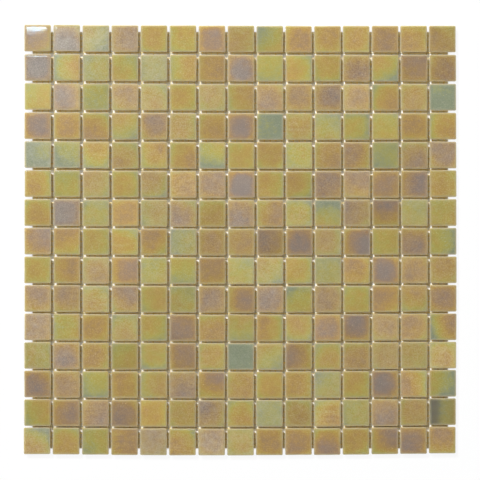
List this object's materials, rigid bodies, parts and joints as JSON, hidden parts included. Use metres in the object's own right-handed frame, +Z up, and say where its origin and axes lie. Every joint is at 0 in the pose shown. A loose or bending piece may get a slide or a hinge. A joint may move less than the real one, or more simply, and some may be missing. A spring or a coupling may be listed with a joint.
{
  "type": "mosaic tile sheet",
  "caption": "Square sheet of small iridescent glass mosaic chips, held with open joints on a glass-fibre mesh, for bonding to a wall or floor.",
  "frame": {"origin": "middle of the sheet, on the underside of its mesh", "axes": "+Z up out of the chip faces, +X along the rows, +Y from the near edge to the far edge, where row 1 is"},
  "size_m": [0.3252, 0.3252, 0.0044],
  "materials": {
    "chip_glass": "opaque golden glass with an iridescent, glossy face",
    "mesh_thread": "off-white glass-fibre roving, sized stiff"
  },
  "bodies": {
    "root": {"tile_row_01": "chip_glass", "tile_row_02": "chip_glass", "tile_row_03": "chip_glass", "tile_row_04": "chip_glass", "tile_row_05": "chip_glass", "tile_row_06": "chip_glass", "tile_row_07": "chip_glass", "tile_row_08": "chip_glass", "tile_row_09": "chip_glass", "tile_row_10": "chip_glass", "tile_row_11": "chip_glass", "tile_row_12": "chip_glass", "tile_row_13": "chip_glass", "tile_row_14": "chip_glass", "tile_row_15": "chip_glass", "mesh_warp_threads": "mesh_thread", "mesh_weft_threads": "mesh_thread"}
  },
  "joints": []
}
